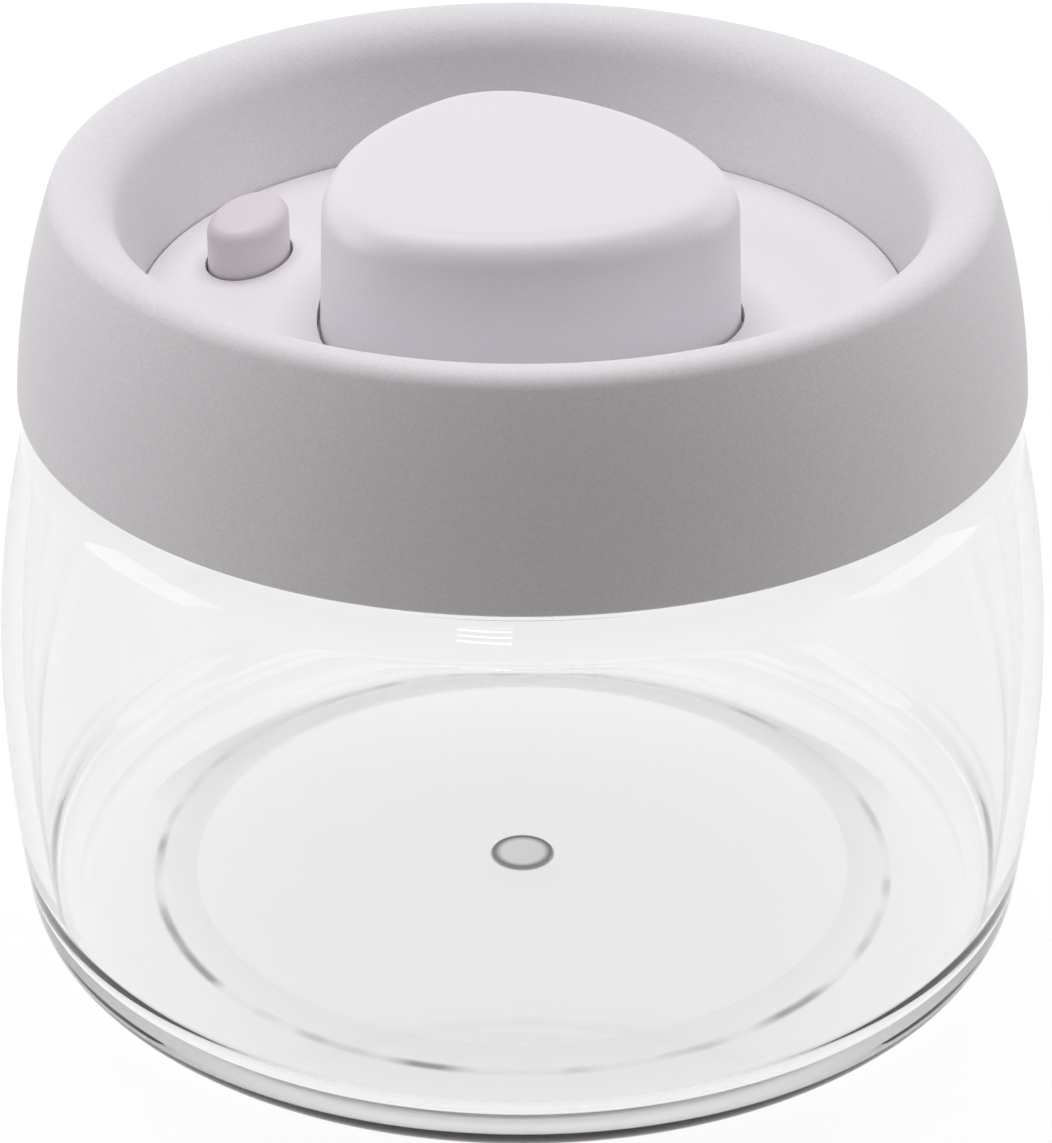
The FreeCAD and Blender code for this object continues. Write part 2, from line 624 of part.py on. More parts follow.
# Pump
def make_cylinder():
    body = turned((0, WELL_FLOOR_Z), (CYLINDER_FLANGE_R, WELL_FLOOR_Z),
                  (CYLINDER_FLANGE_R, CYLINDER_FLANGE_Z, EDGE_R),
                  (CYLINDER_R, CYLINDER_FLANGE_Z), (CYLINDER_R, CYLINDER_TOP_Z, EDGE_R),
                  (BORE_R, CYLINDER_TOP_Z, EDGE_R), (BORE_R, CYLINDER_FLOOR_Z), (0, CYLINDER_FLOOR_Z))
    holes = around(rod(SCREW_R + SCREW_FIT, WELL_FLOOR_Z, CYLINDER_FLANGE_Z, CYLINDER_SCREW_R),
                   CYLINDER_SCREW_ANGLES)
    return body.cut(holes + vents(INTAKE_VENT_RING, WELL_FLOOR_Z, CYLINDER_FLOOR_Z))


def make_cylinder_screws():
    one = screw(CYLINDER_FLANGE_Z, CYLINDER_SCREW_L)
    one.translate(FreeCAD.Vector(CYLINDER_SCREW_R, 0, 0))
    return Part.makeCompound(around(one, CYLINDER_SCREW_ANGLES))


def make_cylinder_gasket():
    return ring(INLET_R, CYLINDER_GASKET_R, WELL_FLOOR_Z - CYLINDER_GASKET_T, WELL_FLOOR_Z)


def make_button():
    outer = triangle_draft(0, BUTTON_LOW_Z, BUTTON_TOP_Z)
    outer = outer.makeFillet(BUTTON_EDGE_R, top_edges(outer, BUTTON_TOP_Z))
    flange = triangle_prism(BUTTON_DRAFT * (BUTTON_LOW_Z - DECK_TOP_Z) - BUTTON_FLANGE,
                            BUTTON_LOW_Z, BUTTON_LOW_Z + BUTTON_FLANGE_T)
    hollow = triangle_draft(BUTTON_WALL, BUTTON_LOW_Z, BUTTON_ROOF_Z)
    socket = rod(ROD_R - ROD_WALL - ROD_FIT, BUTTON_ROOF_Z - SOCKET_H, BUTTON_ROOF_Z)
    return joined([joined([outer, flange]).cut(hollow), socket]).cut(cross_pin(PIN_R + PIN_FIT))


def cross_pin(radius):
    """Round bar through the rod and the button's socket, along X."""
    start = FreeCAD.Vector(-ROD_R, 0, BUTTON_ROOF_Z - SOCKET_H / 2)
    return Part.makeCylinder(radius, 2 * ROD_R, start, FreeCAD.Vector(1, 0, 0))


def make_piston():
    groove_low = PISTON_LOW_Z + (PISTON_H - PISTON_GROOVE_H) / 2
    groove_top = groove_low + PISTON_GROOVE_H
    land = BORE_R - PISTON_LAND_GAP
    bore = ROD_R - ROD_WALL
    plate_low = PISTON_PLATE_Z - PISTON_PLATE_T
    body = turned((bore, PISTON_LOW_Z), (land, PISTON_LOW_Z, EDGE_R), (land, groove_low),
                  (GROOVE_R, groove_low), (GROOVE_R, groove_top), (land, groove_top),
                  (land, PISTON_TOP_Z, EDGE_R), (ROD_R, PISTON_TOP_Z), (ROD_R, BUTTON_ROOF_Z),
                  (bore, BUTTON_ROOF_Z), (bore, PISTON_PLATE_Z), (0, PISTON_PLATE_Z), (0, plate_low),
                  (bore, plate_low))
    window = Part.makeBox(2 * ROD_R, ROD_WINDOW_W, ROD_WINDOW_H,
                          FreeCAD.Vector(-ROD_R, -ROD_WINDOW_W / 2, PISTON_TOP_Z))
    return body.cut(around(window, (0, 90)) + vents(EXHAUST_VENT_RING, plate_low, PISTON_PLATE_Z)
                    + [cross_pin(PIN_R + PIN_FIT)])


def make_piston_seal():
    low = PISTON_LOW_Z + (PISTON_H - PISTON_GROOVE_H) / 2
    top = low + PISTON_GROOVE_H
    third = PISTON_GROOVE_D / 3
    return turned((GROOVE_R, low), (SEAL_R - third, low), (SEAL_R, low + third), (SEAL_R, top),
                  (SEAL_R - third, top), (SEAL_R - third, top - third), (GROOVE_R + third, top - third),
                  (GROOVE_R + third, top), (GROOVE_R, top))


def make_intake_valve():
    return umbrella(INTAKE_DISC_R, CYLINDER_FLOOR_Z, CYLINDER_FLOOR_T)


def make_exhaust_valve():
    return umbrella(EXHAUST_DISC_R, PISTON_PLATE_Z, PISTON_PLATE_T)


def make_pin():
    return cross_pin(PIN_R)


def make_pump_spring():
    return coil(PUMP_COIL_R, PUMP_WIRE_R, CYLINDER_FLANGE_Z + SPRING_SEAT, BUTTON_ROOF_Z - SPRING_SEAT,
                PUMP_TURNS)


# Inlet filter under the well
def make_filter():
    disc = rod(FILTER_R, WELL_LOW_Z - FILTER_T, WELL_LOW_Z)
    steps = int(INLET_R / FILTER_PITCH)
    holes = []
    for i in range(-steps, steps + 1):
        for j in range(-steps, steps + 1):
            x, y = FILTER_PITCH * (i + j / 2), FILTER_PITCH * j * math.sqrt(3) / 2
            if math.hypot(x, y) < INLET_R - FILTER_HOLE_R:
                holes.append(rod(FILTER_HOLE_R, WELL_LOW_Z - FILTER_T, WELL_LOW_Z, x, y))
    return disc.cut(holes)


def make_filter_cap():
    plate = turned((0, CAP_LOW_Z), (CAP_RIB_R, CAP_LOW_Z, CAP_PLATE_T / 2), (CAP_RIB_R, CAP_RIB_LOW_Z),
                   (0, CAP_RIB_LOW_Z))
    spigot = ring(CAP_SPIGOT_R - CAP_SPIGOT_W, CAP_SPIGOT_R, CAP_RIB_LOW_Z, WELL_LOW_Z - FILTER_T)
    holder = ring(INLET_R, FILTER_R, CAP_RIB_LOW_Z, WELL_LOW_Z - FILTER_T)
    slot = Part.makeBox(INLET_R - 2 * CAP_SLOT_W, CAP_SLOT_W, CAP_PLATE_T,
                        FreeCAD.Vector(CAP_SLOT_W, -CAP_SLOT_W / 2, CAP_LOW_Z))
    return joined([plate, spigot, holder]).cut(around(slot, evenly(CAP_SLOTS)))


# Release valve
def make_release_button():
    cap = oval_prism(0, RELEASE_LOW_Z, RELEASE_TOP_Z)
    cap = cap.makeFillet(RELEASE_EDGE_R, top_edges(cap, RELEASE_TOP_Z))
    flange = oval_prism(RELEASE_FLANGE, RELEASE_LOW_Z, RELEASE_LOW_Z + RELEASE_FLANGE_T)
    hollow = oval_prism(-RELEASE_WALL, RELEASE_LOW_Z, RELEASE_ROOF_Z)
    stem = rod(STEM_R, STEM_LOW_Z, RELEASE_ROOF_Z, -RELEASE_R)
    groove = ring(STEM_R - CLIP_GROOVE, CLIP_R, CLIP_LOW_Z, SEAL_HUB_Z)
    groove.translate(FreeCAD.Vector(-RELEASE_R, 0, 0))
    return joined([joined([cap, flange]).cut(hollow), stem]).cut(groove)


def make_release_seal():
    hub_r = STEM_R + RELEASE_SEAL_HUB_W
    seal = turned((STEM_R, SEAL_HUB_Z), (hub_r, SEAL_HUB_Z), (hub_r, PAN_LOW_Z - RELEASE_SEAL_T),
                  (RELEASE_SEAL_R, PAN_LOW_Z - RELEASE_SEAL_T / 2), (RELEASE_SEAL_R, PAN_LOW_Z),
                  (STEM_R, PAN_LOW_Z))
    seal.translate(FreeCAD.Vector(-RELEASE_R, 0, 0))
    return seal


def make_release_clip():
    clip = ring(STEM_R - CLIP_GROOVE, CLIP_R, CLIP_LOW_Z, SEAL_HUB_Z)
    mouth = Part.makeBox(CLIP_R, CLIP_MOUTH, CLIP_T, FreeCAD.Vector(0, -CLIP_MOUTH / 2, CLIP_LOW_Z))
    clip = clip.cut(mouth)
    clip.translate(FreeCAD.Vector(-RELEASE_R, 0, 0))
    return clip


def make_release_spring():
    spring = coil(RELEASE_COIL_R, RELEASE_WIRE_R, SPRING_POST_Z + SPRING_SEAT, RELEASE_ROOF_Z - SPRING_SEAT,
                  RELEASE_TURNS)
    spring.translate(FreeCAD.Vector(-RELEASE_R, 0, 0))
    return spring


NODES = {
    "jar": make_jar,
    "lid_collar": make_collar,
    "lid_deck": make_deck,
    "lid_base": make_base,
    "lid_gasket": make_gasket,
    "lid_screws": make_lid_screws,
    "pump_cylinder": make_cylinder,
    "cylinder_gasket": make_cylinder_gasket,
    "cylinder_screws": make_cylinder_screws,
    "intake_valve": make_intake_valve,
    "inlet_filter": make_filter,
    "filter_cap": make_filter_cap,
    "pump_spring": make_pump_spring,
    "pump_button": make_button,
    "pump_piston": make_piston,
    "piston_seal": make_piston_seal,
    "exhaust_valve": make_exhaust_valve,
    "piston_pin": make_pin,
    "release_button": make_release_button,
    "release_seal": make_release_seal,
    "release_clip": make_release_clip,
    "release_spring": make_release_spring,
}

os.makedirs("parts", exist_ok=True)
for name, make in NODES.items():
    make().exportStep(f"parts/{name}.step")
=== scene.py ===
import json
import math

import bpy
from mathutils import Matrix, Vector


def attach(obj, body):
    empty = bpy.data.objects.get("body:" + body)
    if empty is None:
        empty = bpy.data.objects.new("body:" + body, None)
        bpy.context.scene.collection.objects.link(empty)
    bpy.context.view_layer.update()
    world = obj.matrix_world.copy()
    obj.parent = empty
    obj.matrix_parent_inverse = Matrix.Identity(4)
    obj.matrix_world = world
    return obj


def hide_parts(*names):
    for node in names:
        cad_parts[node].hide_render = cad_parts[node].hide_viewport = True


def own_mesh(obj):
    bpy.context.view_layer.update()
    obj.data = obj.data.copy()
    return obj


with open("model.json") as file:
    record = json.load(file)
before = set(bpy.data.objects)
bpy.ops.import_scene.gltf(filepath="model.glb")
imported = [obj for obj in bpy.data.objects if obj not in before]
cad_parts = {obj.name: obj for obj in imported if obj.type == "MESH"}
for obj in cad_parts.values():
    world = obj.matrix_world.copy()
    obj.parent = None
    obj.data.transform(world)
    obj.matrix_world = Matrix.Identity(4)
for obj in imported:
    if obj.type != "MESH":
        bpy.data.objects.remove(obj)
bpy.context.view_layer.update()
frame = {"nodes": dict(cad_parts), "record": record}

# Vacuum seal canister: smooth skins for the jar and the lid's collar, copies of the springs, and every
# finish.
# All lengths are in metres, worked out from millimetres.
MM = 0.001

# Jar
BELLY_R, BELLY_Z = 60.8 * MM, 30 * MM
SHOULDER_R, SHOULDER_Z = 55.5 * MM, 66.5 * MM
HEEL_R, HEEL_Z = 59.1 * MM, 5 * MM
FOOT_R, FOOT_INNER_R = 54.7 * MM, 48.5 * MM
FOOT_RECESS, RECESS_SLOPE, RECESS_ROLL_R = 1.3 * MM, 9 * MM, 8 * MM
JAR_WALL, FLOOR_T, FLOOR_CORNER_R = 2.4 * MM, 2.5 * MM, 6 * MM
GATE_R, GATE_DEPTH = 3.7 * MM, 0.5 * MM
NECK_R, MOUTH_R, MOUTH_Z = 53.6 * MM, 51.2 * MM, 71 * MM
NECK_BLEND = 6.5 * MM
JAR_EDGE_R = 0.6 * MM

# Collar
LID_EDGE_R, LID_EDGE_Z = 57 * MM, 67 * MM
CREST_R, RIM_TOP_Z = 50.4 * MM, 91.9 * MM
RIM_OUTER_R, RIM_INNER_R = 2.2 * MM, 5.5 * MM
SIDE_BOW_R, COLLAR_WALL, RIM_ROOF = 84 * MM, 2 * MM, 3.2 * MM
DISH_R, DECK_Z = 43.3 * MM, 76.3 * MM
LEDGE_R, LEDGE_TOP_Z, LEDGE_LOW_Z = 40.3 * MM, 73 * MM, 71.2 * MM
EDGE_R = 0.4 * MM

# Finishes
PLASTIC_IOR, SHEEN_SPREAD, TEXTURE_STRENGTH = 1.46, 0.06, 0.5
CLEAR_IOR, CLEAR_ROUGH, CLEAR_COLOUR = 1.33, 0.01, (0.915, 0.915, 0.92, 1)
WAVE_SIZE, WAVE_DEPTH, WAVE_STRENGTH = 25 * MM, 0.02 * MM, 0.25
# Painted shade under the jar's floor: at the gate mark and as a broken line along the foot's slope
GATE_ROUGH, GATE_SHADE, GATE_RING, GATE_RING_IN = 0.7, 0.97, 0.5 * MM, 1.2 * MM
SLOPE_ROUGH, SLOPE_FADE = 0.45, 0.4 * MM
LINE_SHADE, LINE_HALF, LINE_FADE, LINE_LUMP = 0.9, 0.3 * MM, 0.7 * MM, 11 * MM
SHADE_EDGE, SHADE_COLOUR = 0.2 * MM, (0.02, 0.02, 0.025, 1)

# Stage
CAMERA_TURN, CAMERA_TILT = math.radians(19.8), math.radians(61.24)
CAMERA_PLACE = (0.1458, -0.4050, 0.2774)
SENSOR_MM, LENS_MM, LENS_SHIFT = 36, 132.9, 0.0031
ROOM_LIGHT, ROOM_COLOUR = 0.11, (1, 0.95, 0.93, 1)
LIGHT_COLOUR = (0.99, 0.985, 1)
FLOOR_COLOUR = (0.67, 0.655, 0.645, 1)
FLOOR_GLOW, FLOOR_SHINE = 0.7, 1.2
FLOOR_HALF, FLOOR_Z = 3.0, -0.3 * MM
SHADOW_REACH = 0.6
LAMP_Z, LAMP_RIGHT, LAMP_BACK = 0.073, -0.15, -1.1
TUBES, TUBE_LENGTH, TUBE_WIDTH, TUBE_PITCH, TUBE_SHINE = 4, 0.22, 0.004, 0.0117, 12

# Fineness of the skins
TURN_STEPS = 256
ARC_STEP = math.radians(6)
EDGE_STEP = 2 * ARC_STEP
JAR_STEP, SIDE_STEP = ARC_STEP / 16, ARC_STEP / 12
FILLET_STEP = math.radians(10)
BLEND_STEPS = 16
SUPPORT = 0.1 * MM
SHARP = math.radians(38)


# Profiles, as (r, z) points
def arc(centre, start, end, step=ARC_STEP):
    """Points of an arc of under half a circle about a centre, without its last point."""
    a = math.atan2(start[1] - centre[1], start[0] - centre[0])
    b = math.atan2(end[1] - centre[1], end[0] - centre[0])
    turn = (b - a + math.pi) % (2 * math.pi) - math.pi
    radius = math.dist(centre, start)
    count = max(2, math.ceil(abs(turn) / step))
    angles = [a + turn * i / count for i in range(count)]
    return [(centre[0] + radius * math.cos(t), centre[1] + radius * math.sin(t)) for t in angles]


def toward(start, end, distance):
    run = math.dist(start, end)
    return tuple(p + (q - p) * distance / run for p, q in zip(start, end))


def straight(start, end):
    """Points of a straight stretch, held flat by a ring near each end, without its last point."""
    return [start, toward(start, end, SUPPORT), toward(end, start, SUPPORT)]


def rounded(*corners):
    """Points of a path through (r, z) corners, without its last point. A third number rounds that corner."""
    points = []
    leave = corners[0]
    for before, corner, after in zip(corners, corners[1:], corners[2:]):
        here, radius = corner[:2], corner[2]
        one, two = toward(here, before[:2], 1), toward(here, after[:2], 1)
        half = math.asin(math.dist(one, two) / 2)
        middle = ((one[0] + two[0]) / 2, (one[1] + two[1]) / 2)
        centre = toward(here, middle, radius / math.sin(half))
        reach = radius / math.tan(half)
        enter = toward(here, before[:2], reach)
        points += straight(leave, enter)
        leave = toward(here, after[:2], reach)
        points += arc(centre, enter, leave, FILLET_STEP)
    return points + straight(leave, corners[-1])


def bezier(poles, t):
    weights = ((1 - t) ** 3, 3 * t * (1 - t) ** 2, 3 * t * t * (1 - t), t ** 3)
    return tuple(sum(w * p[axis] for w, p in zip(weights, poles)) for axis in (0, 1))


def bow_radius(inset, height):
    """Radius of the bow that moves inwards by an inset over a height from its widest place."""
    return (inset ** 2 + height ** 2) / (2 * inset)


def jar_profile():
    """Jar from the middle of its underside, up its outside, over the mouth and down to its floor."""
    upper_r = bow_radius(BELLY_R - SHOULDER_R, SHOULDER_Z - BELLY_Z)
    lower_r = bow_radius(BELLY_R - HEEL_R, BELLY_Z - HEEL_Z)
    upper, lower = (BELLY_R - upper_r, BELLY_Z), (BELLY_R - lower_r, BELLY_Z)

    def on_bow(centre, radius, z):
        return centre[0] + math.sqrt(radius ** 2 - (z - BELLY_Z) ** 2), z

    floor_z = FOOT_RECESS + FLOOR_T
    foot, heel, belly = (FOOT_R, 0), (HEEL_R, HEEL_Z), (BELLY_R, BELLY_Z)
    belly_in = (BELLY_R - JAR_WALL, BELLY_Z)
    shoulder = on_bow(upper, upper_r, SHOULDER_Z - JAR_EDGE_R)
    shoulder_in = (shoulder[0] - JAR_EDGE_R, SHOULDER_Z)
    out = ((heel[0] - lower[0]) / lower_r, (heel[1] - lower[1]) / lower_r)
    drop = (foot[0] - heel[0], foot[1] - heel[1])
    heel_r = -(drop[0] ** 2 + drop[1] ** 2) / (2 * (drop[0] * out[0] + drop[1] * out[1]))
    heel_centre = (heel[0] - heel_r * out[0], heel[1] - heel_r * out[1])
    blend_z = SHOULDER_Z - NECK_BLEND
    inner_blend = on_bow(upper, upper_r - JAR_WALL, blend_z)
    corner = on_bow(lower, lower_r - JAR_WALL - FLOOR_CORNER_R, floor_z + FLOOR_CORNER_R)
    corner_wall = toward(lower, corner, lower_r - JAR_WALL)
    slope = (inner_blend[0] - upper[0]) / (inner_blend[1] - upper[1])
    third = NECK_BLEND / 3
    poles = [(MOUTH_R, SHOULDER_Z), (MOUTH_R, SHOULDER_Z - third),
             (inner_blend[0] - third / slope, blend_z + third), inner_blend]

    gate_z, gate_edge = FOOT_RECESS + GATE_DEPTH, GATE_DEPTH / 3
    points = rounded((0, gate_z), (GATE_R, gate_z, gate_edge), (GATE_R, FOOT_RECESS, gate_edge),
                     (FOOT_INNER_R - RECESS_SLOPE, FOOT_RECESS, RECESS_ROLL_R), (FOOT_INNER_R, 0, JAR_EDGE_R),
                     foot)
    points += arc(heel_centre, foot, heel)
    points += arc(lower, heel, belly, JAR_STEP) + arc(upper, belly, shoulder, JAR_STEP)
    points += arc((shoulder_in[0], shoulder[1]), shoulder, shoulder_in)
    points += rounded(shoulder_in, (NECK_R, SHOULDER_Z, JAR_EDGE_R), (NECK_R, MOUTH_Z, JAR_EDGE_R),
                      (MOUTH_R, MOUTH_Z, JAR_EDGE_R), (MOUTH_R, SHOULDER_Z))
    points += [bezier(poles, i / BLEND_STEPS) for i in range(BLEND_STEPS)]
    points += arc(upper, inner_blend, belly_in, JAR_STEP) + arc(lower, belly_in, corner_wall, JAR_STEP)
    points += arc(corner, corner_wall, (corner[0], floor_z))
    points += straight((corner[0], floor_z), (0, floor_z)) + [(0, floor_z)]
    return points


def collar_profile():
    """Closed loop of the collar: up its outside, over the rim, down the dish and back inside."""
    rim_outer, rim_inner = (CREST_R, RIM_TOP_Z - RIM_OUTER_R), (CREST_R, RIM_TOP_Z - RIM_INNER_R)
    crest, dish = (CREST_R, RIM_TOP_Z), (DISH_R, DECK_Z)
    edge, edge_in = (LID_EDGE_R, LID_EDGE_Z + EDGE_R), (LID_EDGE_R - EDGE_R, LID_EDGE_Z)
    span = math.dist(edge, rim_outer)
    along = (SIDE_BOW_R ** 2 - (SIDE_BOW_R - RIM_OUTER_R) ** 2 + span ** 2) / (2 * span)
    aside = math.sqrt(SIDE_BOW_R ** 2 - along ** 2)
    unit = ((rim_outer[0] - edge[0]) / span, (rim_outer[1] - edge[1]) / span)
    side = (edge[0] + unit[0] * along - unit[1] * aside, edge[1] + unit[1] * along + unit[0] * aside)
    rim_start = toward(side, rim_outer, SIDE_BOW_R)
    rise = (rim_inner[0] - dish[0], rim_inner[1] - dish[1])
    reach = math.hypot(*rise)
    lean = math.atan2(rise[1], rise[0]) + math.asin(RIM_INNER_R / reach)
    wall = math.sqrt(reach ** 2 - RIM_INNER_R ** 2)
    roll_end = (dish[0] + wall * math.cos(lean), dish[1] + wall * math.sin(lean))
    roof_z = RIM_TOP_Z - RIM_ROOF
    side_in = SIDE_BOW_R - COLLAR_WALL
    roof_out = (side[0] + math.sqrt(side_in ** 2 - (roof_z - side[1]) ** 2), roof_z)
    skirt_in = (side[0] + math.sqrt(side_in ** 2 - (LID_EDGE_Z - side[1]) ** 2), LID_EDGE_Z)
    back = DISH_R + COLLAR_WALL
    roof_in = (back + (roof_z - DECK_Z) / math.tan(lean), roof_z)
    points = arc((edge_in[0], edge[1]), edge_in, edge, EDGE_STEP) + arc(side, edge, rim_start, SIDE_STEP)
    points += arc(rim_outer, rim_start, crest) + arc(rim_inner, crest, roll_end) + straight(roll_end, dish)
    points += [dish, (DISH_R, LEDGE_TOP_Z), (LEDGE_R, LEDGE_TOP_Z), (LEDGE_R, LEDGE_LOW_Z),
               (back, LEDGE_LOW_Z), (back, DECK_Z), roof_in]
    points += arc(side, roof_out, skirt_in, SIDE_STEP) + [skirt_in]
    return points


# Pieces
def circle(r, z):
    """Points of a ring about the axis, or the one point of a pole."""
    if r < MM / 1000:
        return [(0, 0, z)]
    angles = [2 * math.pi * i / TURN_STEPS for i in range(TURN_STEPS)]
    return [(r * math.cos(a), r * math.sin(a), z) for a in angles]


def lathe(name, profile, body, node, closed=False):
    """Smooth skin of a profile turned about the axis."""
    rings = [circle(r, z) for r, z in profile]
    verts, faces, starts = [], [], []
    for points in rings:
        starts.append(len(verts))
        verts += points
    pairs = list(zip(range(len(rings)), range(1, len(rings))))
    if closed:
        pairs.append((len(rings) - 1, 0))
    for i, j in pairs:
        n = max(len(rings[i]), len(rings[j]))
        for k in range(n):
            m = (k + 1) % n
            low = [starts[i]] if len(rings[i]) == 1 else [starts[i] + k, starts[i] + m]
            high = [starts[j]] if len(rings[j]) == 1 else [starts[j] + m, starts[j] + k]
            faces.append(low + high)
    mesh = bpy.data.meshes.new(name)
    mesh.from_pydata(verts, [], faces)
    mesh.shade_smooth()
    mesh.set_sharp_from_angle(angle=SHARP)
    piece = bpy.data.objects.new(name, mesh)
    bpy.context.scene.collection.objects.link(piece)
    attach(piece, body)
    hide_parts(node)
    return piece


def add_spring(node):
    """Copy of a CAD spring, carried with the lid in place of the CAD solid."""
    solid = frame["nodes"][node]
    spring = bpy.data.objects.new(f"{node}_coil", solid.data.copy())
    spring.matrix_world = solid.matrix_world
    bpy.context.scene.collection.objects.link(spring)
    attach(spring, "lid")
    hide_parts(node)
    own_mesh(spring)


# Nodes of the finishes
def new_finish(name):
    """A new material with its tree, its shader and a coordinate that rides with the piece."""
    finish = bpy.data.materials.new(name)
    finish.use_nodes = True
    nodes = finish.node_tree.nodes
    return finish, nodes, finish.node_tree.links, nodes["Principled BSDF"], nodes.new("ShaderNodeTexCoord")


def calculate(nodes, links, operation, *sources):
    """Sum of the kind named, on sockets and numbers."""
    node = nodes.new("ShaderNodeMath")
    node.operation = operation
    for socket, source in zip(node.inputs, sources):
        if isinstance(source, float):
            socket.default_value = source
        else:
            links.new(source, socket)
    return node.outputs[0]


def remap(nodes, links, source, given=(0, 1), wanted=(0, 1)):
    """Moves a source from a given range to a wanted one, and holds it there."""
    node = nodes.new("ShaderNodeMapRange")
    node.inputs["From Min"].default_value, node.inputs["From Max"].default_value = given
    node.inputs["To Min"].default_value, node.inputs["To Max"].default_value = wanted
    links.new(source, node.inputs["Value"])
    return node.outputs["Result"]


def grain(nodes, links, coordinate, size, detail=3.0, stretch=None):
    """Noise whose lumps are about a size across, drawn out along an axis where a stretch is given."""
    noise = nodes.new("ShaderNodeTexNoise")
    noise.inputs["Scale"].default_value = 1 / size
    noise.inputs["Detail"].default_value = detail
    source = coordinate.outputs["Object"]
    if stretch:
        mapping = nodes.new("ShaderNodeMapping")
        mapping.inputs["Scale"].default_value = stretch
        links.new(source, mapping.inputs["Vector"])
        source = mapping.outputs["Vector"]
    links.new(source, noise.inputs["Vector"])
    return noise.outputs["Fac"]


def set_stops(ramp, stops):
    """Gives a new colour ramp its (place, colour) stops, in rising order."""
    while len(ramp.elements) < len(stops):
        ramp.elements.new(0.5)
    for element, (place, colour) in zip(ramp.elements, stops):
        element.position = place
        element.color = (*colour, 1)


def vary_colour(nodes, links, shader, source, colour, spread):
    """Base colour that the noise takes a share darker and lighter."""
    ramp = nodes.new("ShaderNodeValToRGB")
    dark = [c * (1 - spread) for c in colour]
    light = [min(1, c * (1 + spread)) for c in colour]
    set_stops(ramp.color_ramp, ((0.3, dark), (0.7, light)))
    links.new(source, ramp.inputs["Fac"])
    links.new(ramp.outputs["Color"], shader.inputs["Base Color"])


def vary_roughness(nodes, links, shader, source, low, high):
    links.new(remap(nodes, links, source, wanted=(low, high)), shader.inputs["Roughness"])


def add_bump(nodes, links, shader, source, depth, strength):
    bump = nodes.new("ShaderNodeBump")
    bump.inputs["Distance"].default_value = depth
    bump.inputs["Strength"].default_value = strength
    links.new(source, bump.inputs["Height"])
    links.new(bump.outputs["Normal"], shader.inputs["Normal"])


def from_axis(nodes, links, coordinate):
    """Distance from the axis of the jar, as a share of the heel's radius."""
    flat = nodes.new("ShaderNodeMapping")
    flat.inputs["Scale"].default_value = (1 / HEEL_R, 1 / HEEL_R, 0)
    reach = nodes.new("ShaderNodeVectorMath")
    reach.operation = "LENGTH"
    links.new(coordinate.outputs["Object"], flat.inputs["Vector"])
    links.new(flat.outputs["Vector"], reach.inputs[0])
    return reach.outputs["Value"]


def by_radius(nodes, links, reach, stops):
    """Grey that follows the distance from the axis through (radius, value) stops."""
    node = nodes.new("ShaderNodeValToRGB")
    set_stops(node.color_ramp, [(radius / HEEL_R, (value, value, value)) for radius, value in stops])
    links.new(reach, node.inputs["Fac"])
    return node.outputs["Color"]


# Finishes
def moulded_plastic(name, colour, rough, texture, depth, spread):
    """Opaque moulded plastic with a fine texture, faint mottling and an uneven sheen."""
    finish, nodes, links, shader, coordinate = new_finish(name)
    fine = grain(nodes, links, coordinate, texture)
    vary_colour(nodes, links, shader, fine, colour, spread)
    vary_roughness(nodes, links, shader, fine, rough - SHEEN_SPREAD, rough + SHEEN_SPREAD)
    add_bump(nodes, links, shader, fine, depth, TEXTURE_STRENGTH)
    shader.inputs["IOR"].default_value = PLASTIC_IOR
    return finish


